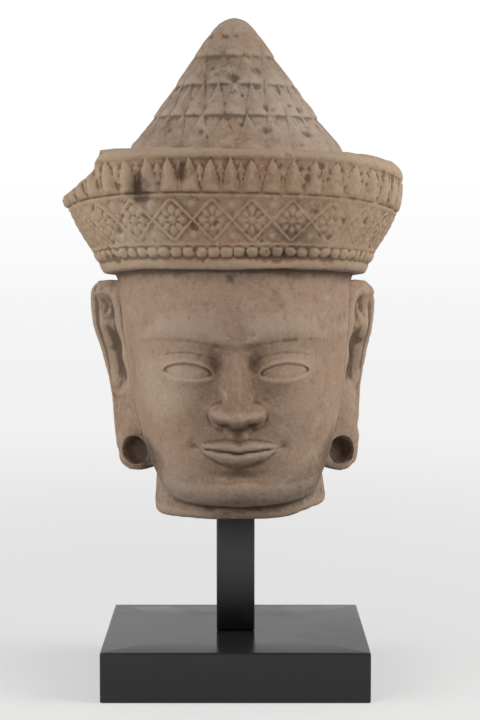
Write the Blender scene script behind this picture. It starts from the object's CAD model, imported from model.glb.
import math

import bpy
import numpy as np
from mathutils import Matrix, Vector


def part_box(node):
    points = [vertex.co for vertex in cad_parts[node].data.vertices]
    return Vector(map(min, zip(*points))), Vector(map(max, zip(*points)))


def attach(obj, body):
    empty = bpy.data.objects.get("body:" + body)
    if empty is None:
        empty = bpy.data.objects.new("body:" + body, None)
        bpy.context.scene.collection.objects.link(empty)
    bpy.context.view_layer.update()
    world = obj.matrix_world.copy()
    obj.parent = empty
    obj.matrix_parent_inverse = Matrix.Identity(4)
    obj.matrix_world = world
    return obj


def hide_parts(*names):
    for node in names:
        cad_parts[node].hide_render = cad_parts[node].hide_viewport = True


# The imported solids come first: everything below is placed by them
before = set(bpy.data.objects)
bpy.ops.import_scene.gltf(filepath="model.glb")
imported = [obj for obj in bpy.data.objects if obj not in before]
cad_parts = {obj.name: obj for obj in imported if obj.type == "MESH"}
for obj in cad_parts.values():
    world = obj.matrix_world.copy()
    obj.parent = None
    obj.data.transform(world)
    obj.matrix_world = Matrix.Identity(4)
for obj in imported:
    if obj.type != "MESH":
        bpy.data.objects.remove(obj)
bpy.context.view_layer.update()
bodyName = "root"
headLow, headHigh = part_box("head")
rodLow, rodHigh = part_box("rod")
plinthLow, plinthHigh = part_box("plinth")
mm = 0.001  # shapes are worked out in millimetres and stored in metres
print("frame loaded, head", [round(v, 3) for v in (headHigh - headLow)])


# Small tools for smooth shapes; all of them work on whole arrays
def ease(low, high, value):
    t = np.clip((value - low) / (high - low), 0, 1)
    return t * t * (3 - 2 * t)  # a smooth step from 0 to 1


def hump(value, centre, width):
    return np.exp(-(((value - centre) / width) ** 2))  # a bell


def spot(x, z, centreX, centreZ, wide, tall):
    return hump(x, centreX, wide) * hump(z, centreZ, tall)  # a round or oval bell


def band(value, low, high, soft):
    # 1 from low to high and 0 beyond, with eased ends
    return ease(low - soft, low + soft, value) * (1 - ease(high - soft, high + soft, value))


def curveThrough(at, values, where):
    # a cubic through the values that never overshoots: each slope is the harmonic mean of its two sides
    step = np.diff(at)
    slope = np.diff(values) / step
    before, after = slope[:-1], slope[1:]
    weightBefore, weightAfter = 2 * step[1:] + step[:-1], step[1:] + 2 * step[:-1]
    sameWay = before * after > 0
    mean = (weightBefore + weightAfter) / (
        weightBefore / np.where(sameWay, before, 1) + weightAfter / np.where(sameWay, after, 1))
    tangent = np.concatenate([slope[:1], np.where(sameWay, mean, 0), slope[-1:]])
    i = np.clip(np.searchsorted(at, where, "right") - 1, 0, len(at) - 2)
    span = at[i + 1] - at[i]
    t = (where - at[i]) / span
    return (values[i] * (1 + 2 * t) * (1 - t) ** 2 + tangent[i] * span * t * (1 - t) ** 2
            + values[i + 1] * t * t * (3 - 2 * t) + tangent[i + 1] * span * t * t * (t - 1))


fieldSide = 32  # the random fields repeat after this many cells


def roughField(points, size, seed):
    # smooth random values from -1 to 1: a seeded lattice with the given cell size, eased between its corners
    lattice = np.random.default_rng(seed).uniform(-1, 1, (fieldSide, fieldSide, fieldSide))
    place = np.asarray(points) / size
    cell = np.floor(place).astype(int)
    part = place - cell
    part = part * part * (3 - 2 * part)
    total = 0
    for dx in (0, 1):
        for dy in (0, 1):
            for dz in (0, 1):
                corner = np.array([dx, dy, dz])
                weight = np.prod(np.where(corner == 1, part, 1 - part), axis=-1)
                at = (cell + corner) % fieldSide
                total = total + weight * lattice[at[..., 0], at[..., 1], at[..., 2]]
    return total


def roundPits(points, size, seed, share):
    # depths from 0 to 1 of round pits: one random centre and radius in each lattice cell, some left empty
    cells = (fieldSide, fieldSide, fieldSide)
    random = np.random.default_rng(seed)
    centres = random.uniform(0.15, 0.85, (*cells, 3))
    radii = random.uniform(0.15, 0.5, cells) * (random.uniform(0, 1, cells) < share)
    place = np.asarray(points) / size
    cell = np.floor(place).astype(int)
    deepest = np.zeros(place.shape[:-1])
    for step in np.stack(np.meshgrid(*[(-1, 0, 1)] * 3), -1).reshape(-1, 3):
        at = (cell + step) % fieldSide
        centre = cell + step + centres[at[..., 0], at[..., 1], at[..., 2]]
        radius = radii[at[..., 0], at[..., 1], at[..., 2]]
        far = np.linalg.norm(place - centre, axis=-1)
        deepest = np.maximum(deepest, np.clip(1 - (far / np.maximum(radius, 1e-6)) ** 2, 0, 1) * radius * 2)
    return deepest


def splitAlong(quads, relief):
    # each quad becomes two triangles, cut along the diagonal on which the relief bends less
    ends = np.concatenate([relief[:1], relief, relief[-1:]])
    bend = ends[2:] + ends[:-2] + np.roll(relief, 1, axis=1) + np.roll(relief, -1, axis=1) - 4 * relief
    bend = bend + np.roll(bend, -1, axis=1)
    across = relief - np.roll(relief, -1, axis=1)
    first = ((bend[:-1] + bend[1:]) * (across[:-1] - across[1:]) < 0)[..., None]
    one = np.where(first, quads[..., [0, 1, 2]], quads[..., [0, 1, 3]])
    other = np.where(first, quads[..., [0, 2, 3]], quads[..., [1, 2, 3]])
    return np.concatenate([one.reshape(-1, 3), other.reshape(-1, 3)])


def placed(name, data):
    # a new object, linked to the scene
    thing = bpy.data.objects.new(name, data)
    bpy.context.scene.collection.objects.link(thing)
    return thing


def closedStack(name, stack, bottom, top, relief=None):
    # equal rings of points joined by quads, with both ends drawn to single points; millimetres in, metres out
    rows, columns = stack.shape[:2]
    points = np.concatenate([[bottom], stack.reshape(-1, 3), [top]]) * mm
    grid = 1 + np.arange(rows * columns).reshape(rows, columns)
    beside = np.roll(grid, -1, axis=1)
    quads = np.stack([grid[:-1], beside[:-1], beside[1:], grid[1:]], -1)
    wall = quads.reshape(-1, 4) if relief is None else splitAlong(quads, relief)
    last = rows * columns + 1
    under = np.stack([np.zeros(columns, int), beside[0], grid[0]], -1)
    over = np.stack([np.full(columns, last), grid[-1], beside[-1]], -1)
    mesh = bpy.data.meshes.new(name)
    mesh.from_pydata(points.tolist(), [], wall.tolist() + under.tolist() + over.tolist())
    mesh.update()
    return placed(name, mesh)


def joinOrCut(target, tool, operation):
    # one boolean, applied at once; the tool is then thrown away
    step = target.modifiers.new("step", "BOOLEAN")
    step.object = tool
    step.operation = operation
    step.solver = "MANIFOLD"
    bpy.context.view_layer.update()
    result = bpy.data.meshes.new_from_object(target.evaluated_get(bpy.context.evaluated_depsgraph_get()))
    target.modifiers.clear()
    old = target.data
    target.data = result
    bpy.data.meshes.remove(old)
    bpy.data.objects.remove(tool)


# Head: sizes in millimetres, heights counted up from the neck's underside
head = {
    "columns": 352, "rowScale": 0.89, "frontCrowd": 0.15,  # the mesh, closer together in front
    "leanDegrees": 1.5, "leanFoot": 3.2, "coneAside": 3.8, "rimTilt": 0.013,
    "footRise": 5.5, "riseFrom": 22, "riseTo": 56, "riseTop": 18,  # the neck's broken edge on the right
}
neckFloor = headLow.z / mm

# name, height at the front, side and back, half width, depth to the front and back, squareness, rows
headRings = [
    ("footCentre", 0, 0, 0, 0, 0, 0, 2.0, 3),
    ("seat", 0, 0, 0, 24, 22, 24, 2.0, 7),
    ("footEdge", 1, 1, 1, 54, 46, 52, 2.2, 3),
    ("neckFoot", 4, 4, 4, 56, 48.5, 55, 2.2, 5),
    ("neck", 9, 18, 20, 55.5, 48, 57, 2.2, 5),
    ("throat", 11, 29, 34, 54.5, 54, 60, 2.2, 5),
    ("underJaw", 12.5, 35, 44, 55.5, 67, 64, 2.15, 5),
    ("jawEdge", 17, 40, 53, 57, 76, 68, 2.1, 7),
    ("chin", 27, 48, 62, 61, 80.5, 73, 2.1, 18),
    ("mouth", 48, 64, 78, 65, 82, 80, 2.15, 22),
    ("noseBase", 68, 79, 93, 68.5, 83, 85, 2.2, 35),
    ("eyes", 100, 104, 110, 71.5, 84.5, 89, 2.2, 22),
    ("brow", 118, 121, 123, 73.5, 85.5, 91, 2.2, 16),
    ("hairline", 161.4, 156.4, 152.4, 78, 81.5, 89, 2.2, 3),
    ("bandFoot", 162, 157, 153, 84.5, 87.5, 93.5, 2.25, 5),
    ("bandLow", 169, 164, 160, 88.3, 89, 94.5, 2.3, 42),
    ("bandHigh", 223, 211, 213, 110.8, 96, 101, 2.45, 9),
    ("rimOuter", 232, 221, 224, 111.5, 97, 102, 2.45, 4),
    ("rimTop", 236, 230, 231, 105, 94.5, 99, 2.45, 4),
    ("rimInner", 235, 230.5, 231, 97, 87, 92, 2.4, 3),
    ("channel", 227.5, 226.5, 226, 84, 79, 82, 2.2, 3),
    ("coneFoot", 227.5, 227.5, 227.5, 70, 73, 75, 2.1, 3),
    ("coneBase", 234, 234, 234, 69.4, 71.5, 73.5, 2.05, 17),
    ("coneLow", 254, 254, 254, 56.3, 57.5, 58.5, 2.0, 15),
    ("coneMid", 278, 278, 278, 39.2, 39.5, 40, 2.0, 12),
    ("coneHigh", 301, 301, 301, 23, 23.5, 23.5, 2.0, 8),
    ("coneNeck", 314, 314, 314, 14.5, 14.5, 14.5, 2.0, 5),
    ("coneTip", 321.5, 321.5, 321.5, 7.5, 7.5, 7.5, 2.0, 3),
    ("apex", 324, 324, 324, 0, 0, 0, 2.0, 0),
]


# Face: one calm, even face drawn on equal thirds, in millimetres
face = {
    "chinUp": 16.0, "third": 50.0,
    "browArch": 7.0, "browSpread": 62.0, "browStep": 2.0, "browEdge": 0.9,
    "eyeAside": 30.0, "eyeDrop": 16.0, "eyeHalf": 15.5, "eyeball": 6.8,
    "noseBridge": 3.2, "noseRise": 12.0, "noseNarrow": 5.4, "noseWiden": 4.2, "noseTip": 3.4, "noseWing": 6.8,
    "upperHalf": 25.5, "upperTall": 7.4, "upperFull": 3.9,
    "lowerHalf": 24.0, "lowerTall": 8.8, "lowerFull": 4.6,
}


def swells(side, up, rows):
    # the sum of oval swells and hollows: how far forward, place aside and up, half width and half height
    total = 0
    for forward, aside, height, wide, tall in rows:
        total = total + forward * spot(side, up, aside, height, wide, tall)
    return total


def browRelief(side, up, brow):
    # one joined double arch, where the forehead steps back into the sockets
    spread = (np.hypot(side, 8) - 8) / face["browSpread"]
    arch = brow - 2 + face["browArch"] * np.sin(np.pi * np.clip(spread, 0, 1)) ** 1.1
    ends = 1 - ease(44, 66, side)
    step = face["browStep"] * ease(-2.6, 2.6, up - arch) * (1 - ease(8, 40, up - arch)) * ends
    return step + face["browEdge"] * hump(up, arch + 2.2, 1.5) * ends * ease(2, 14, side)


def eyeRelief(side, up, eyeUp):
    # a socket deepest by the nose and under the brow, a hollow temple, and a dome with two lids and a fold
    socket = swells(side, up, [(-5.6, 31, eyeUp + 5.5, 21, 9.5), (-4.4, 12.6, eyeUp + 3, 6.4, 9),
                               (-1.6, 60, eyeUp + 6, 9, 16)])
    dome = ((side - face["eyeAside"]) / 19.0) ** 2 + ((up - eyeUp - 0.3) / 11.0) ** 2
    across = (side - face["eyeAside"]) / face["eyeHalf"]
    opening = np.clip(1 - across * across, 0, 1)
    tilt = 0.9 * across
    upper = eyeUp - 1.6 + tilt + 5.6 * opening ** 0.75
    lower = eyeUp - 2.8 + tilt - 3.2 * opening ** 0.9
    between = ease(-0.9, 0.9, upper - up) * ease(-0.9, 0.9, up - lower) * ease(1.04, 0.92, np.abs(across))
    span = 1 - ease(0.94, 1.12, np.abs(across))
    upperLid = np.exp(-(((up - upper - 1.0) / np.where(up > upper + 1.0, 2.4, 1.2)) ** 2))
    lids = (upperLid + 0.5 * hump(up, lower - 1.2, 1.5)) * span - (1.7 - 0.9 * opening) * between
    fold = eyeUp + 5.2 + tilt * 0.8 + 5.0 * np.clip(1 - (across / 1.25) ** 2, 0, 1) ** 0.8
    crease = 0.45 * hump(up, fold, 1.0) * (1 - ease(0.95, 1.2, np.abs(across)))
    return socket + face["eyeball"] * np.exp(-(dome ** 1.3)) + lids - crease


def noseRelief(side, up, brow, nose):
    # a ridge that widens and rises downward, a rounded tip, two wings, the line behind them, and nostrils
    along = np.clip((brow - up) / (face["third"] - 4), 0, 1)
    width = face["noseNarrow"] + face["noseWiden"] * along ** 1.6
    height = face["noseBridge"] + face["noseRise"] * along ** 1.1
    ridge = height * np.exp(-((side / width) ** 2.3)) * (1 - ease(brow - 10, brow + 9, up))
    tip = face["noseTip"] * spot(side, up, 0, nose + 6.5, 8.6, 7.4)
    wing = ((side - 10.8) / 5.8) ** 2 + ((up - nose - 5.6) / 6.4) ** 2
    wings = face["noseWing"] * np.exp(-(wing ** 1.15))
    base = nose - 1.2 + 3.4 * (side / 15) ** 2 - 1.2 * hump(side, 0, 4.5)
    line = 0.6 * hump(np.hypot((side - 9.5) / 8.2, (up - nose - 5) / 8.0), 1.08, 0.16) * (side > 9)
    nostrils = 2.4 * spot(side, up, 6.4, nose - 0.3, 2.8, 1.7)
    return (ridge + tip + wings) * ease(base - 2.2, base + 4.8, up) - line - nostrils


def mouthRelief(side, up, nose, mouth):
    # the muzzle with its groove and corners, and two full lips with a crisp parting and a trace of a smile
    muzzle = swells(side, up, [(3.4, 0, mouth, 27, 15), (-1.2, 0, nose - 6.5, 2.5, 4.2),
                               (0.5, 4.6, nose - 6.5, 1.6, 4.4), (-1.8, 28, mouth + 2.4, 3.4, 3.4)])
    parting = mouth - 0.4 + 0.0034 * side * side - 0.9 * hump(side, 0, 4.5)
    upperSpan = np.clip(1 - (side / face["upperHalf"]) ** 2, 0, 1)
    lowerSpan = np.clip(1 - (side / face["lowerHalf"]) ** 2, 0, 1)
    upperTall = face["upperTall"] * upperSpan ** 0.75 * (1 - 0.15 * hump(side, 0, 3.6)) + 0.4
    lowerTall = face["lowerTall"] * lowerSpan ** 0.7 + 0.4
    upperPart = np.clip((up - parting) / upperTall, 0, 1)
    lowerPart = np.clip((parting - up) / lowerTall, 0, 1)
    upper = face["upperFull"] * np.sin(np.pi * upperPart ** 0.62) * upperSpan ** 0.6 * (up >= parting)
    lower = face["lowerFull"] * np.sin(np.pi * lowerPart ** 0.62) * lowerSpan ** 0.6 * (up < parting)
    return muzzle + upper + lower - 0.9 * hump(up, parting, 1.2) * (1 - ease(22, 28, side))


def faceRelief(x, up):
    # how far the stone stands forward of the plain ring: chin, cheeks and jaw, then the features
    side = np.abs(x)
    third, chin = face["third"], face["chinUp"]
    nose, brow = chin + third, chin + 2 * third
    mouth, crease = nose - third / 3, nose - 2 * third / 3
    flesh = swells(side, up, [(-2.2, 0, crease + 1.5, 18, 4.8), (4.2, 0, chin + 9, 17, 9),
                              (4.2, 41, nose + 9, 17, 19), (-1.4, 49, mouth - 1, 11, 15),
                              (1.6, 44, chin + 9, 20, 8)])
    return (flesh + browRelief(side, up, brow) + eyeRelief(side, up, brow - face["eyeDrop"])
            + noseRelief(side, up, brow, nose) + mouthRelief(side, up, nose, mouth))


def cellPlace(angle, count, shift=0.0):
    turn = angle / (2 * np.pi) * count + shift
    return 2 * (turn - np.floor(turn)) - 1  # from -1 to 1 across one cell


def leaf(across, up, point):
    # one upright leaf: 1 along its middle, 0 at its edges, narrowing to a point
    wide = 0.96 * (1 - np.clip(up, 0, 1) ** point) + 0.001
    return np.clip(1 - (across / wide) ** 2, 0, 1) ** 0.75 * (up >= 0) * (up <= 1)


# Diadem: how many flowers and beads go round, and heights as shares of the band
diadem = {
    "flowers": 24, "beads": 72,
    "beadRow": 0.16, "beadHalf": 0.05, "lowFillet": 0.232, "highFillet": 0.636,
    "flowerRow": 0.434, "flowerHalf": 0.178, "leafFoot": 0.668, "leafTall": 0.285,
}


def diademRelief(angle, part):
    # from the foot up: fillet, beads, fillet, flowers in lozenges, fillet, leaves, rim
    cells = diadem["flowers"]
    out = -1.1 * band(part, 0.085, 0.965, 0.012)
    out = out + 1.0 * (hump(part, diadem["lowFillet"], 0.014) + hump(part, diadem["highFillet"], 0.014))
    beadRise = (part - diadem["beadRow"]) / diadem["beadHalf"]
    out = out + 2.3 * np.sqrt(np.clip(1 - cellPlace(angle, diadem["beads"]) ** 2 - beadRise ** 2, 0, 1))
    # a boss and eight petals in each lozenge, and a small boss in each gap between lozenges
    across, rise = cellPlace(angle, cells), (part - diadem["flowerRow"]) / diadem["flowerHalf"]
    far, turn = np.hypot(across, rise), np.arctan2(rise, across)
    petals = 0.5 + 0.5 * np.cos(8 * turn)
    corner = np.hypot(np.abs(across) - 1, np.abs(rise) - 0.74)
    flower = 1.8 * hump(far, 0, 0.15) + 1.6 * hump(far, 0.42, 0.17) * (0.2 + 0.8 * petals)
    lozenge = 1.1 * hump(np.abs(across) + np.abs(rise), 1.0, 0.075) + 1.2 * hump(corner, 0, 0.17)
    out = out + (flower + lozenge) * (np.abs(rise) < 1)
    # large leaves, each with a rib, and small ones between
    leafUp = (part - diadem["leafFoot"]) / diadem["leafTall"]
    main = leaf(cellPlace(angle, cells * 2, 0.5), leafUp, 2.4)
    out = out + 2.0 * main + 0.6 * leaf(cellPlace(angle, cells * 2, 0.5) * 1.9, leafUp * 1.3, 2.4)
    out = out + 1.0 * leaf(cellPlace(angle, cells * 2), leafUp * 1.12, 2.0) * (main < 0.05)
    return out * (part > 0) * (part < 1)


def coneRelief(angle, part):
    # tiers of leaves, each set half a leaf over from the one below, fainter towards the tip
    cells = diadem["flowers"]
    # foot and top of each tier as shares of the cone, how many leaves go round, and their shift
    tiers = [(0, 0.26, cells, 0), (0.26, 0.48, cells, 0.5), (0.48, 0.67, cells // 2, 0),
             (0.67, 0.83, cells // 2, 0.5), (0.83, 0.95, cells // 3, 0)]
    out = 0 * part
    for low, high, count, shift in tiers:
        rise = (part - low) / (high - low)
        inTier = (rise >= 0) & (rise < 1)
        across = cellPlace(angle, count, shift)
        relief = 1.9 * leaf(across, rise, 2.0) + 0.6 * leaf(across * 1.7, rise * 1.25, 2.0) - 0.5
        out = out + np.where(inTier, relief, 0)
    return out * (1 - 0.75 * ease(0.5, 0.95, part)) * (part < 0.97)


def backRelief(x, up):
    # a mass of hair in shallow strands below the diadem, and the knot that ties it with two short ends
    strands = 0.5 * np.cos(2 * np.pi * x / 7.4)
    hair = (2.2 + strands) * ease(54, 59, up + 0.004 * x * x)
    knot = 4.5 * np.exp(-((x / 13) ** 4) - ((up - 171) / 15) ** 4)
    knot = knot - 1.4 * hump(np.abs(x), 4.5, 1.2) * band(up, 160, 182, 2)
    place = np.abs(x) - 9 - 0.08 * (150 - up)
    ends = 2.6 * np.exp(-((place / 7) ** 4)) * ease(104, 107, up)
    ends = ends - 0.7 * hump(place, 0, 1.4) * ease(108, 112, up)
    return np.where(up < 153, hair + ends, knot)


# Wear: depths and sizes in millimetres; every field has its own seed
wear = {
    "edge": 0.5, "edgeMost": 1.2, "edgePatch": (17, 21), "faceSpared": 0.55, "seatRadius": 26,
    "carvingLeft": 0.62, "carvingPatch": (34, 11),
    "swells": [(23, 1, 0.55), (8, 2, 0.35), (3.1, 3, 0.16)],  # size, seed, depth
    "pits": [(13, 4, 0.35, 1.3), (6.5, 7, 0.30, 0.8)],  # size, seed, share of cells, depth
}

# What time took: two pits and a worn strip on the diadem's front (x, height, half width, half height, depth)
scars = [(-55.0, 210, 6.5, 9, 5), (-29.0, 221, 5.5, 6, 3), (25.6, 170, 19, 4.2, 2.4)]


def headRows():
    # how far along the profile the named rings and the rows of points lie, and each row's seven measures
    table = np.array([ring[1:9] for ring in headRings], float)
    rise, widen, deepen = np.diff(table[:, 1]), np.diff(table[:, 3]), np.diff(table[:, 4])
    travel = 0.6 * np.hypot(rise, widen) + 0.4 * np.hypot(np.diff(table[:, 0]), deepen)
    at = np.concatenate([[0], np.cumsum(travel)])
    place = {ring[0]: at[i] for i, ring in enumerate(headRings)}
    where = []
    for i, ring in enumerate(headRings[:-1]):
        rows = max(1, round(ring[8] * head["rowScale"]))
        where += list(at[i] + travel[i] * np.arange(rows) / rows)
    where = np.array(where[1:])[:, None]
    return place, where, [curveThrough(at, table[:, i], where) for i in range(7)]


def headCore():
    # each row is a rounded box in plan, pushed out by the carving and then forward by the face
    place, where, (upFront, upSide, upBack, half, front, back, square) = headRows()
    turn = np.linspace(-1, 1, head["columns"], endpoint=False)
    angle = (np.pi * turn - np.pi * head["frontCrowd"] * np.sin(np.pi * turn))[None, :]
    ahead, aside = np.cos(angle), np.sin(angle)
    up = upSide + (upFront - upSide) * ease(0, 1, ahead) + (upBack - upSide) * ease(0, 1, -ahead)
    depth = np.where(ahead > 0, front, back)
    radius = (np.abs(aside / half) ** square + np.abs(ahead / depth) ** square) ** (-1 / square)
    plain = np.stack([radius * aside, -radius * ahead, up], -1)
    # how much of the carving is left, more in some patches than in others
    whole = ease(-0.35, 0.45, roughField(plain, *wear["carvingPatch"]))
    kept = wear["carvingLeft"] + (1 - wear["carvingLeft"]) * whole
    bandPart = (where - place["bandFoot"]) / (place["rimOuter"] - place["bandFoot"])
    conePart = (where - place["coneBase"]) / (place["apex"] - place["coneBase"])
    carving = diademRelief(angle, bandPart) + coneRelief(angle, conePart) * (conePart > 0)
    relief = carving * kept + np.where(ahead < 0, backRelief(radius * aside, up), 0) * ease(0.5, 0.8, -ahead)
    x, y = (radius + relief) * aside, -(radius + relief) * ahead
    x = x + head["coneAside"] * ease(place["rimInner"], place["coneFoot"], where)
    onFace = ease(place["underJaw"], place["jawEdge"] + 3, where)
    onFace = onFace * (1 - ease(place["hairline"] - 10, place["hairline"] - 1, where))
    features = faceRelief(x, up) * ease(0.1, 0.45, ahead) * onFace
    y = y - features
    for scarX, scarUp, wide, tall, deep in scars:
        far = ((x - scarX) / wide) ** 2 + ((up - scarUp) / tall) ** 2
        y = y + deep * np.exp(-(far ** 1.5)) * (ahead > 0)
    stack = np.stack([x, y, neckFloor + up], -1)
    apex = (head["coneAside"], 0, neckFloor + headRings[-1][1])
    return closedStack("carvedHead", stack, (0, 0, neckFloor), apex, relief + features)


# Ears: heights up from the neck's underside, then x and y of the inner and of the outer edge
ear = {"columns": 60, "rows": 100, "faceDepth": 4.5, "backDepth": 14.0, "endRound": 8.0,
       "widerLeft": 2.0, "tallerLeft": 1.6}
earRings = np.array([
    (27.8, 63, -4, 70, 0), (29.8, 58, -8, 74, 3), (34.2, 53.5, -12, 77, 6), (41, 52, -13, 78.5, 8),
    (52, 54, -13, 79.3, 9), (64, 58, -13, 79.6, 12), (80, 61, -14, 80, 17), (104, 63, -15, 84.4, 23),
    (124, 65, -14, 90.5, 27), (138, 67, -12, 91.5, 28), (147, 70, -8, 89.5, 26), (152, 74, 0, 86, 20)], float)
lobeHole = {"up": 41.2, "along": 11.6, "tall": 10.0, "depth": 10.0, "sides": 48}


def earFrame(side, up):
    # the middle, the half length and the outward direction of an ear at each height
    up = np.clip(up, earRings[0, 0], earRings[-1, 0])
    innerX, innerY, outerX, outerY = [curveThrough(earRings[:, 0], earRings[:, i], up) for i in range(1, 5)]
    outerX = outerX + (ear["widerLeft"] + ear["tallerLeft"] * ease(60, 110, up) if side < 0 else 0)
    middle = np.stack([(innerX + outerX) / 2, (innerY + outerY) / 2], -1)
    along = np.stack([outerX, outerY], -1) - middle
    out = np.stack([along[..., 1], -along[..., 0]], -1)
    return middle, along, out / np.linalg.norm(out, axis=-1, keepdims=True)


def earRelief(across, up):
    # a rolled rim over the top and down the back, a forked ridge inside it, a bowl, and a flat strap below
    back = 2.8 * hump(across, 0.82, 0.14) * ease(44, 100, up)
    top = 3.0 * hump(up, 146.5, 4.4) * hump(across, 0.1, 0.9)
    front = 2.4 * hump(across, -0.44, 0.14) * band(up, 116, 144, 5)
    groove = 1.5 * hump(across, 0.60, 0.10) * band(up, 92, 138, 6)
    inner = 2.0 * hump(across, 0.40 + 0.0002 * (up - 108) ** 2, 0.11) * band(up, 86, 130, 7)
    fork = 1.5 * hump(across, 0.40 - 0.028 * (up - 120), 0.10) * band(up, 121, 136, 4)
    bowl = 5.6 * np.exp(-(((across + 0.02) / 0.30) ** 4) - ((up - 104) / 17) ** 4)
    hollow = 2.6 * spot(across, up, 0.02, 133, 0.40, 8)
    flap = 2.2 * spot(across, up, -0.46, 102, 0.13, 6.5)
    strap = 1.2 * hump(across, 0.1, 0.5) * band(up, 58, 80, 8)
    return back + top + front + inner + fork + flap + strap - groove - bowl - hollow


def earBody(side):
    low, high = earRings[0, 0], earRings[-1, 0]
    up = low + (high - low) * (1 - np.cos(np.pi * np.linspace(0, 1, ear["rows"]))) / 2
    middle, along, out = [values[:, None, :] for values in earFrame(side, up)]
    rounded = np.clip((up - low) / ear["endRound"], 0, 1) * np.clip((high - up) / ear["endRound"], 0, 1)
    taper = 0.35 + 0.65 * np.sqrt(rounded)
    turn = 2 * np.pi * np.arange(ear["columns"]) / ear["columns"]
    across, lift = np.cos(turn)[None, :], np.sin(turn)[None, :]
    thick = np.where(lift > 0, ear["faceDepth"] + earRelief(across, up[:, None]), ear["backDepth"])
    push = thick * taper[:, None] * np.sign(lift) * np.abs(lift) ** 0.7
    flat = middle + along * across[..., None] + out * push[..., None]
    stack = np.stack([side * flat[..., 0], flat[..., 1], neckFloor + up[:, None] + 0 * push], -1)
    ends = [(side * middle[i, 0, 0], middle[i, 0, 1], neckFloor + up[i] + beyond)
            for i, beyond in ((0, -1), (-1, 1))]
    return closedStack("ear", stack[:, ::-1] if side > 0 else stack, *ends)


def lobeCutter(side):
    # a slightly tapered plug, from well outside the lobe to its floor; behind it a web of stone stays
    middle, along, out = earFrame(side, np.array(lobeHole["up"]))
    away = np.array([side * out[0], out[1], 0])
    sideways = np.array([side * along[0], along[1], 0]) / np.hypot(*along)
    centre = np.array([side * middle[0], middle[1], neckFloor + lobeHole["up"]])
    turn = 2 * np.pi * np.arange(lobeHole["sides"]) / lobeHole["sides"]
    circle = (np.cos(turn)[:, None] * sideways * lobeHole["along"]
              + np.sin(turn)[:, None] * np.array([0, 0, 1]) * lobeHole["tall"])
    skin = ear["faceDepth"]
    floor, outside = skin - lobeHole["depth"], skin + 8
    lifts = np.concatenate([np.linspace(floor, floor + 3, 5), np.linspace(floor + 4, outside, 12)])
    grows = curveThrough(np.array([floor, floor + 0.8, floor + 3, skin - 0.5, skin + 1.2, outside]),
                         np.array([0.62, 0.76, 0.86, 0.95, 1.04, 1.12]), lifts)
    stack = np.array([centre + away * lift + circle * grow for lift, grow in zip(lifts, grows)])
    ends = [centre + away * (floor - 0.3), centre + away * (outside + 1)]
    ordered = stack if side > 0 else stack[:, ::-1]
    return closedStack("plug", ordered, *ends)


# The lost left flank of the rim: height, how far out the stone still reaches, and its ends along Y
lostRim = np.array([(204, 110, -70, 72), (213, 96, -76, 78), (221, 85, -82, 84),
                    (231, 80, -86, 88), (248, 78, -90, 92)], float)


def lostRimCutter():
    # a block from the broken face, which bows and is chipped at random, to well outside the head
    rows, columns, beyond = 40, 90, 130
    up = np.linspace(lostRim[0, 0], lostRim[-1, 0], rows)[:, None]
    inner, low, high = [np.interp(up, lostRim[:, 0], lostRim[:, i]) for i in (1, 2, 3)]
    turn = np.linspace(-1, 1, columns)[None, :]
    y = (low + high) / 2 + (high - low) / 2 * turn
    x = -inner - 3 * np.abs(turn) ** 4
    broken = np.stack([x, y + 0 * x, neckFloor + up + 0 * x], -1)
    chipped = 1.6 * roughField(broken, 11, 5) + 0.8 * roughField(broken, 4, 6)
    broken[..., 0] += chipped
    outer = broken[:, ::-1].copy()
    outer[..., 0] = -beyond
    stack = np.concatenate([broken, outer], axis=1)
    inside = -(beyond + 100) / 2  # a place between the broken face and the outer side
    under, over = [(inside, 0, neckFloor + lostRim[i, 0]) for i in (0, -1)]
    return closedStack("breaker", stack, under, over)


def meshArrays(mesh):
    points = np.empty(len(mesh.vertices) * 3)
    mesh.vertices.foreach_get("co", points)
    normals = np.empty(len(mesh.vertices) * 3)
    mesh.vertices.foreach_get("normal", normals)
    edges = np.empty(len(mesh.edges) * 2, np.int32)
    mesh.edges.foreach_get("vertices", edges)
    return points.reshape(-1, 3), normals.reshape(-1, 3), edges.reshape(-1, 2)


def neighbourMean(values, edges):
    # the mean over each point's neighbours
    total = np.zeros_like(values)
    count = np.zeros(len(values))
    for one, other in ((0, 1), (1, 0)):
        for i in range(values.shape[1]):
            total[:, i] += np.bincount(edges[:, one], values[edges[:, other], i], len(values))
        count += np.bincount(edges[:, one], minlength=len(values))
    return total / np.maximum(count, 1)[:, None]


def hollowness(points, normals, edges, rounds):
    # how far a point lies below the smoothed surface round it, in millimetres
    smooth = points
    for _ in range(rounds):
        smooth = neighbourMean(smooth, edges)
    return np.sum((smooth - points) * normals, axis=1) / mm


def weather(piece):
    # wears the sharp edges down, roughens the skin and opens small pits, all by seeded fields
    points, normals, edges = meshArrays(piece.data)
    inner = points / mm
    up = inner[:, 2] - neckFloor
    onFace = band(up, 16, 158, 6) * (inner[:, 1] < 0)
    rough = 1 - wear["faceSpared"] * onFace
    worn = np.clip(-hollowness(points, normals, edges, 3), 0, wear["edgeMost"])
    shift = -wear["edge"] * worn * (0.6 + 0.8 * ease(-0.2, 0.6, roughField(inner, *wear["edgePatch"])))
    for size, seed, deep in wear["swells"]:
        shift += rough * deep * roughField(inner, size, seed)
    for size, seed, share, deep in wear["pits"]:
        shift -= rough * deep * roundPits(inner, size, seed, share)
    # the flat seat on the rod stays flat
    free = ease(0, 3, up) + (np.hypot(inner[:, 0], inner[:, 1]) > wear["seatRadius"])
    points = points + normals * (shift * np.clip(free, 0, 1) * mm)[:, None]
    piece.data.vertices.foreach_set("co", points.ravel())
    piece.data.update()


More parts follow.
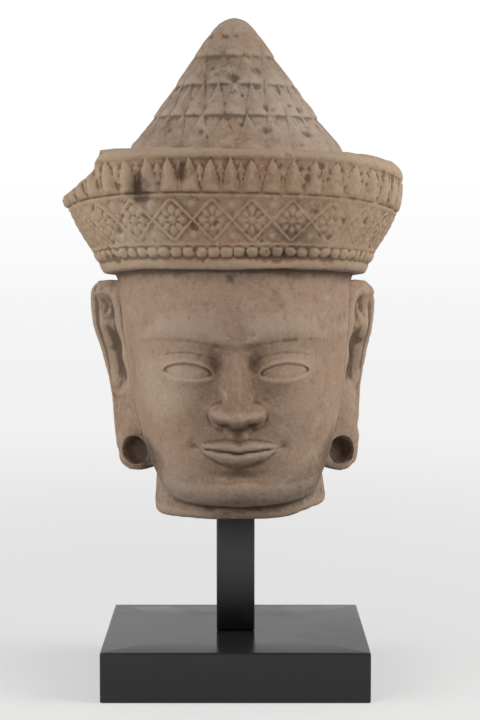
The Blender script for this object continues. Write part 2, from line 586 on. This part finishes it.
def settle(piece):
    # the whole head leans a little, the rim sits lower on the right, and the neck's broken edge rises there
    points, _, _ = meshArrays(piece.data)
    x, up = points[:, 0] / mm, points[:, 2] / mm - neckFloor
    lean = math.tan(math.radians(head["leanDegrees"]))
    rise = head["footRise"] * ease(head["riseFrom"], head["riseTo"], x) * (1 - ease(1, head["riseTop"], up))
    drop = head["rimTilt"] * x * band(up, 180, 250, 20)
    points[:, 0] = (x + head["leanFoot"] - lean * up) * mm
    points[:, 2] = np.maximum(neckFloor, neckFloor + up + rise - drop) * mm
    points = np.clip(points, np.array(headLow), np.array(headHigh))  # no grain stands outside the solid's box
    piece.data.vertices.foreach_set("co", points.ravel())
    piece.data.update()


def markHollows(piece):
    # one attribute for the dirt in small hollows and one for broad ones
    points, normals, edges = meshArrays(piece.data)
    fine = hollowness(points, normals, edges, 3)
    broad = hollowness(points, normals, edges, 40)
    for name, values, size in (("fineHollow", fine, 0.5), ("broadHollow", broad, 2.5)):
        mark = piece.data.attributes.new(name, "FLOAT", "POINT")
        mark.data.foreach_set("value", np.clip(0.5 + values / size * 0.5, 0, 1).astype(np.float32))


def makeHead():
    piece = headCore()
    for side in (1, -1):
        joinOrCut(piece, earBody(side), "UNION")
        joinOrCut(piece, lobeCutter(side), "DIFFERENCE")
    joinOrCut(piece, lostRimCutter(), "DIFFERENCE")
    print("head joined,", len(piece.data.vertices), "points")
    weather(piece)
    settle(piece)
    markHollows(piece)
    piece.data.shade_smooth()
    piece.data.set_sharp_from_angle(angle=math.radians(50))
    piece.data.materials.clear()
    piece.data.materials.append(makeSandstone())
    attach(piece, bodyName)
    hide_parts("head")
    return piece


# Materials: every pattern reads Object coordinates or the marks made above
def newMaterial(name):
    material = bpy.data.materials.new(name)
    material.use_nodes = True
    return material, material.node_tree, material.node_tree.nodes["Principled BSDF"]


def addNode(tree, kind, values=None, **settings):
    # values go to the sockets by name or number: a constant, or the output socket that feeds it
    node = tree.nodes.new(kind)
    for key, value in settings.items():
        setattr(node, key, value)
    for key, value in (values or {}).items():
        if isinstance(value, bpy.types.NodeSocket):
            tree.links.new(value, node.inputs[key])
        else:
            node.inputs[key].default_value = value
    return node


def linear(red, green, blue):
    # a colour read on screen, 0 to 255, as the light it stands for
    channels = [c / 255 for c in (red, green, blue)]
    return [c / 12.92 if c <= 0.04045 else ((c + 0.055) / 1.055) ** 2.4 for c in channels] + [1]


def objectPlace(tree):
    return addNode(tree, "ShaderNodeTexCoord").outputs["Object"]


def noise(tree, where, scale, detail, roughness, distortion=0.0):
    values = {"Vector": where, "Scale": scale, "Detail": detail}
    values.update({"Roughness": roughness, "Distortion": distortion})
    return addNode(tree, "ShaderNodeTexNoise", values).outputs["Fac"]


def rangeOf(tree, value, low, high, toLow=0.0, toHigh=1.0):
    # an eased step from one value to another, as the input goes from low to high
    values = {"Value": value, "From Min": low, "From Max": high, "To Min": toLow, "To Max": toHigh}
    return addNode(tree, "ShaderNodeMapRange", values, interpolation_type="SMOOTHSTEP").outputs["Result"]


def times(tree, one, other):
    return addNode(tree, "ShaderNodeMath", {0: one, 1: other}, operation="MULTIPLY").outputs[0]


def plus(tree, one, other):
    return addNode(tree, "ShaderNodeMath", {0: one, 1: other}, operation="ADD").outputs[0]


def mixed(tree, amount, under, over):
    # inputs 0, 6 and 7 of a colour mix are its factor and its two colours
    return addNode(tree, "ShaderNodeMix", {0: amount, 6: under, 7: over}, data_type="RGBA").outputs[2]


def bumpFrom(tree, shader, height, strength, distance):
    bump = addNode(tree, "ShaderNodeBump", {"Height": height, "Strength": strength, "Distance": distance})
    tree.links.new(bump.outputs["Normal"], shader.inputs["Normal"])


# Sandstone: colours as they read on screen, grain and stain sizes as noise scales per metre
stone = {
    "grey": (154, 135, 121), "tan": (160, 136, 115), "red": (146, 113, 89), "pink": (166, 138, 116),
    "straw": (180, 151, 122), "brown": (128, 101, 82),
    "dirt": (74, 60, 50), "pale": (188, 170, 152), "stain": (104, 86, 72),
    "patchScale": 11.0, "stainScale": 26.0, "bloomScale": 44.2, "mottleScale": 95.0, "speckScale": 420.0,
    "grainScale": 1500.0, "swellScale": 160.0,
    "roughness": 0.86, "gloss": 0.3, "bumpStrength": 0.42, "bumpDistance": 0.0007,
    # centre, radius, strength and colour of the darker and paler places
    "patches": [
        ((-0.053, -0.085, 0.320), 0.018, 0.50, "stain"), ((0.040, -0.092, 0.290), 0.026, 0.50, "stain"),
        ((-0.031, -0.093, 0.332), 0.012, 0.35, "stain"), ((-0.012, -0.028, 0.400), 0.022, 0.45, "stain"),
        ((-0.059, -0.006, 0.151), 0.027, 1.00, "dirt"), ((-0.082, 0.002, 0.238), 0.026, 0.40, "stain"),
        ((0.064, -0.004, 0.150), 0.016, 0.20, "dirt"), ((0.044, -0.034, 0.372), 0.042, 0.50, "pale"),
        ((-0.062, -0.078, 0.292), 0.036, 0.40, "pale"), ((-0.056, -0.070, 0.198), 0.040, 0.40, "pale"),
        ((-0.002, -0.090, 0.345), 0.045, 0.45, "red"), ((-0.078, 0.004, 0.182), 0.026, 0.30, "brown"),
        ((0.047, -0.054, 0.131), 0.028, 0.50, "dirt"), ((-0.053, -0.034, 0.152), 0.024, 0.85, "dirt"),
        ((0.056, -0.032, 0.151), 0.024, 0.70, "dirt"),
    ],
}


def broadTints(tree, place):
    # masks with strength and colour: pinker face, browner middle and neck, straw diadem, redder in front
    parts = addNode(tree, "ShaderNodeSeparateXYZ", {0: place}).outputs
    floor = neckFloor * mm

    def climb(low, high):
        return rangeOf(tree, parts["Z"], floor + low, floor + high)

    aside = addNode(tree, "ShaderNodeMath", {0: parts["X"]}, operation="ABSOLUTE").outputs[0]
    ahead = rangeOf(tree, parts["Y"], 0.0, -0.05)
    onFace = times(tree, climb(0.02, 0.05), climb(0.162, 0.152))
    middle = times(tree, times(tree, rangeOf(tree, aside, 0.046, 0.004), ahead), climb(0.158, 0.100))
    onNeck = climb(0.026, 0.010)
    onBand = times(tree, climb(0.158, 0.166), climb(0.240, 0.228))
    inFront = times(tree, onBand, times(tree, rangeOf(tree, aside, 0.085, 0.030), ahead))
    return [(onFace, 0.65, "pink"), (middle, 0.72, "brown"), (onNeck, 0.40, "brown"),
            (onBand, 0.85, "straw"), (inFront, 0.62, "red")]


def makeSandstone():
    material, tree, shader = newMaterial("sandstone")
    place = objectPlace(tree)
    patch = noise(tree, place, stone["patchScale"], 5, 0.6, 0.4)
    colour = mixed(tree, rangeOf(tree, patch, 0.38, 0.62), linear(*stone["grey"]), linear(*stone["tan"]))
    for mask, strength, tone in broadTints(tree, place):
        colour = mixed(tree, times(tree, mask, strength), colour, linear(*stone[tone]))
    for centre, size, strength, tone in stone["patches"]:
        away = addNode(tree, "ShaderNodeVectorMath", {0: place, 1: centre}, operation="SUBTRACT").outputs[0]
        far = addNode(tree, "ShaderNodeVectorMath", {0: away}, operation="LENGTH").outputs["Value"]
        ragged = times(tree, far, rangeOf(tree, patch, 0.3, 0.7, 0.7, 1.4))
        amount = rangeOf(tree, ragged, size, size * 0.35, 0.0, strength)
        colour = mixed(tree, amount, colour, linear(*stone[tone]))
    stain = noise(tree, place, stone["stainScale"], 6, 0.62, 0.8)
    bloom = noise(tree, place, stone["bloomScale"], 5, 0.6, 0.5)
    mottle = noise(tree, place, stone["mottleScale"], 5, 0.62, 0.3)
    speck = noise(tree, place, stone["speckScale"], 3, 0.7)
    fine = addNode(tree, "ShaderNodeAttribute", attribute_name="fineHollow").outputs["Fac"]
    broad = addNode(tree, "ShaderNodeAttribute", attribute_name="broadHollow").outputs["Fac"]
    # field, where it starts, where it is full, strength and colour; dirt lies in hollows and edges are paler
    for field, start, full, strength, tone in (
            (stain, 0.55, 0.74, 0.45, "stain"), (bloom, 0.56, 0.72, 0.35, "pale"),
            (mottle, 0.54, 0.72, 0.34, "brown"), (mottle, 0.46, 0.28, 0.30, "pale"),
            (speck, 0.54, 0.70, 0.30, "dirt"), (speck, 0.46, 0.32, 0.26, "pale"),
            (fine, 0.53, 0.82, 0.62, "dirt"), (broad, 0.60, 0.98, 0.42, "dirt"),
            (fine, 0.46, 0.24, 0.38, "pale")):
        colour = mixed(tree, rangeOf(tree, field, start, full, 0.0, strength), colour, linear(*stone[tone]))
    tree.links.new(colour, shader.inputs["Base Color"])
    shader.inputs["Roughness"].default_value = stone["roughness"]
    shader.inputs["Specular IOR Level"].default_value = stone["gloss"]
    # the bump adds grain, pits under the dark specks and a slow swell
    grain = times(tree, noise(tree, place, stone["grainScale"], 3, 0.7), 0.35)
    pits = times(tree, rangeOf(tree, speck, 0.36, 0.62), -0.55)
    swell = times(tree, noise(tree, place, stone["swellScale"], 3, 0.5), 0.45)
    height = plus(tree, plus(tree, grain, pits), swell)
    bumpFrom(tree, shader, height, stone["bumpStrength"], stone["bumpDistance"])
    return material


# Stand: the rounded edges stay inside the solid blocks
stand = {"plinthRound": 1.2, "rodRound": 1.4, "arcSteps": 4}


def roundedBlock(name, low, high, radius):
    # a rounded rectangle carried up a profile: underside, lower round, wall, upper round and top
    half, middle = np.array((high - low) / 2) / mm, np.array((high + low) / 2) / mm
    quarter = np.linspace(0, np.pi / 2, stand["arcSteps"] + 1)
    turns = np.concatenate([quarter + k * np.pi / 2 for k in range(4)])
    signs = np.repeat([[1, 1], [-1, 1], [-1, -1], [1, -1]], stand["arcSteps"] + 1, axis=0)
    arc = np.stack([np.cos(turns), np.sin(turns)], -1)
    lower = [(radius * (1 - math.sin(a)), radius * (1 - math.cos(a))) for a in quarter]
    upper = [(radius * (1 - math.cos(a)), 2 * half[2] - radius * (1 - math.sin(a))) for a in quarter]
    inner = half[:2].min() * 0.4  # the flat ends start with one small ring
    rings = []
    for inset, height in [(inner, 0), *lower, *upper, (inner, 2 * half[2])]:
        bend = max(radius - inset, 0.1)  # no corner is quite sharp
        flat = middle[:2] + signs * (half[:2] - inset - bend) + arc * bend
        rings.append(np.column_stack([flat, np.full(len(flat), middle[2] - half[2] + height)]))
    ends = [(middle[0], middle[1], middle[2] + way * half[2]) for way in (-1, 1)]
    piece = closedStack(name, np.array(rings), *ends)
    piece.data.shade_smooth()
    piece.data.set_sharp_from_angle(angle=math.radians(35))
    return piece


# Finishes: roughness of the smooth and of the rubbed or smeared places, pattern sizes as noise scales
paint = {
    "colour": (0.058, 0.056, 0.060, 1), "foot": (0.002, 0.002, 0.002, 1), "footHeight": 0.056,
    "gloss": 0.18, "roughness": (0.18, 0.38), "rubScale": 60.0, "peelScale": 300.0,
}
lacquer = {
    "colour": (0.010, 0.010, 0.010, 1), "dust": (0.05, 0.048, 0.046, 1),
    "gloss": 0.42, "roughness": (0.11, 0.24), "smearScale": 18.0, "dustScale": 900.0,
    "rippleScale": 22.0, "rippleStretch": (1.0, 14.0, 14.0),
}


def makePaint():
    # satin black paint on steel: faint orange peel, a few rubbed patches, and deeper black at the clean foot
    material, tree, shader = newMaterial("rodPaint")
    place = objectPlace(tree)
    height = addNode(tree, "ShaderNodeSeparateXYZ", {0: place}).outputs["Z"]
    aboveFoot = rangeOf(tree, height, plinthHigh.z, plinthHigh.z + paint["footHeight"])
    tree.links.new(mixed(tree, aboveFoot, paint["foot"], paint["colour"]), shader.inputs["Base Color"])
    rub = noise(tree, place, paint["rubScale"], 5, 0.6)
    tree.links.new(rangeOf(tree, rub, 0.35, 0.7, *paint["roughness"]), shader.inputs["Roughness"])
    shader.inputs["Specular IOR Level"].default_value = paint["gloss"]
    bumpFrom(tree, shader, noise(tree, place, paint["peelScale"], 2, 0.5), 0.12, 0.0002)
    return material


def makeLacquer():
    # black lacquered wood: glossy, with smears and a little dust that catch the light
    material, tree, shader = newMaterial("plinthLacquer")
    place = objectPlace(tree)
    dust = rangeOf(tree, noise(tree, place, lacquer["dustScale"], 2, 0.6), 0.66, 0.74, 0.0, 0.5)
    tree.links.new(mixed(tree, dust, lacquer["colour"], lacquer["dust"]), shader.inputs["Base Color"])
    smear = noise(tree, place, lacquer["smearScale"], 6, 0.62, 0.6)
    tree.links.new(rangeOf(tree, smear, 0.35, 0.7, *lacquer["roughness"]), shader.inputs["Roughness"])
    shader.inputs["Specular IOR Level"].default_value = lacquer["gloss"]
    stretched = {"Vector": place, "Scale": lacquer["rippleStretch"]}
    grain = addNode(tree, "ShaderNodeMapping", stretched).outputs[0]
    bumpFrom(tree, shader, noise(tree, grain, lacquer["rippleScale"], 3, 0.5), 0.05, 0.0003)
    return material


def makeStand():
    rod = roundedBlock("rodBar", rodLow, rodHigh, stand["rodRound"])
    plinth = roundedBlock("plinthBlock", plinthLow, plinthHigh, stand["plinthRound"])
    for piece, node, slot, material in ((rod, "rod", "rod_steel", makePaint()),
                                        (plinth, "plinth", "plinth_lacquer", makeLacquer())):
        piece.data.materials.append(material)
        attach(piece, bodyName)
        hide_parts(node)


# Studio: a pale floor that lightens away from the object, a pale sky, and soft light from both sides
studio = {
    "floorRings": (0.3, 0.6, 1.2, 2.4, 4.8, 9.0), "floorSides": 96,
    # near and far distance in metres, and the value at each
    "floorShade": (0.2, 4.0, 0.46, 0.68), "floorGlow": (0.0, 1.75, 0.41, 0.66),
    "floorHaze": (0.5, 9.0, 0.0, 0.055),
    "floorTint": (0.99, 0.995, 1.0, 1), "floorRoughness": 0.9, "floorGloss": 0.1,
    # low and high direction, and the brightness at each; then the share of it as a light and in gloss
    "sky": (-0.08, 0.045, 0.90, 1.01), "skyAsLight": 0.255, "skyInGloss": 0.55,
    "cameraPlace": (0.0029, -1.315, 0.301), "cameraDown": 3.95, "lens": 100.0, "sensor": 36.0,
    "lights": [
        # name, place, aim, size, power, colour
        ("rightSoft", (1.35, -0.35, 0.75), (0, 0, 0.27), 1.0, 18.0, (1.0, 0.98, 0.95)),
        ("leftSoft", (-1.35, -0.25, 0.60), (0, 0, 0.25), 1.0, 7.0, (1.0, 0.98, 0.96)),
        ("leftFront", (-0.95, -1.05, 0.60), (0, 0, 0.27), 1.0, 8.8, (1.0, 0.98, 0.95)),
    ],
}


def makeFloor():
    # a disc in widening rings of quads, with triangles in its middle
    sides = studio["floorSides"]
    turns = 2 * np.pi * np.arange(sides) / sides
    radii = np.array(studio["floorRings"])[:, None]
    rings = np.stack([radii * np.cos(turns), radii * np.sin(turns), 0 * radii * turns], -1)
    points = np.concatenate([[(0, 0, 0)], rings.reshape(-1, 3)])
    grid = 1 + np.arange(rings.size // 3).reshape(len(radii), -1)
    beside = np.roll(grid, -1, axis=1)
    quads = np.stack([grid[:-1], grid[1:], beside[1:], beside[:-1]], -1).reshape(-1, 4).tolist()
    middle = np.stack([np.zeros(sides, int), grid[0], beside[0]], -1).tolist()
    mesh = bpy.data.meshes.new("floor")
    mesh.from_pydata(points.tolist(), [], quads + middle)
    floor = placed("floor", mesh)
    material, tree, shader = newMaterial("paleFloor")
    far = addNode(tree, "ShaderNodeVectorMath", {0: objectPlace(tree)}, operation="LENGTH").outputs["Value"]
    tree.links.new(rangeOf(tree, far, *studio["floorShade"]), shader.inputs["Base Color"])
    glow = plus(tree, rangeOf(tree, far, *studio["floorGlow"]), rangeOf(tree, far, *studio["floorHaze"]))
    tree.links.new(glow, shader.inputs["Emission Strength"])
    shader.inputs["Emission Color"].default_value = studio["floorTint"]
    shader.inputs["Roughness"].default_value = studio["floorRoughness"]
    shader.inputs["Specular IOR Level"].default_value = studio["floorGloss"]
    mesh.materials.append(material)
    floor.visible_diffuse = False  # the floor throws no light back up under the chin


def makeSky():
    # brighter upward, and dimmer as a light and in gloss than as a backdrop
    world = bpy.data.worlds.new("sky")
    bpy.context.scene.world = world
    world.use_nodes = True
    tree = world.node_tree
    background = tree.nodes["Background"]
    way = addNode(tree, "ShaderNodeTexCoord").outputs["Generated"]
    rise = addNode(tree, "ShaderNodeSeparateXYZ", {0: way}).outputs["Z"]
    tree.links.new(rangeOf(tree, rise, *studio["sky"]), background.inputs["Color"])
    rays = addNode(tree, "ShaderNodeLightPath").outputs
    asLight = rangeOf(tree, rays["Is Diffuse Ray"], 0.0, 1.0, 1.0, studio["skyAsLight"])
    inGloss = rangeOf(tree, rays["Is Glossy Ray"], 0.0, 1.0, 1.0, studio["skyInGloss"])
    tree.links.new(times(tree, asLight, inGloss), background.inputs["Strength"])


def makeLights():
    for name, place, aim, size, power, colour in studio["lights"]:
        lamp = bpy.data.lights.new(name, "AREA")
        lamp.size, lamp.energy, lamp.color = size, power, colour
        holder = placed(name, lamp)
        holder.location = place
        holder.rotation_mode = "QUATERNION"
        holder.rotation_quaternion = (Vector(aim) - Vector(place)).to_track_quat("-Z", "Y")


def makeCamera():
    lens = bpy.data.cameras.new("camera")
    lens.lens, lens.sensor_width = studio["lens"], studio["sensor"]
    holder = placed("camera", lens)
    holder.location = studio["cameraPlace"]
    holder.rotation_euler = (math.radians(90 - studio["cameraDown"]), 0, 0)
    bpy.context.scene.camera = holder
    bpy.context.scene.view_settings.view_transform = "Standard"


makeCamera()
makeFloor()
makeSky()
makeLights()
print("studio ready")
carvedHead = makeHead()
print("head ready,", len(carvedHead.data.polygons), "faces")
makeStand()
print("stand ready")
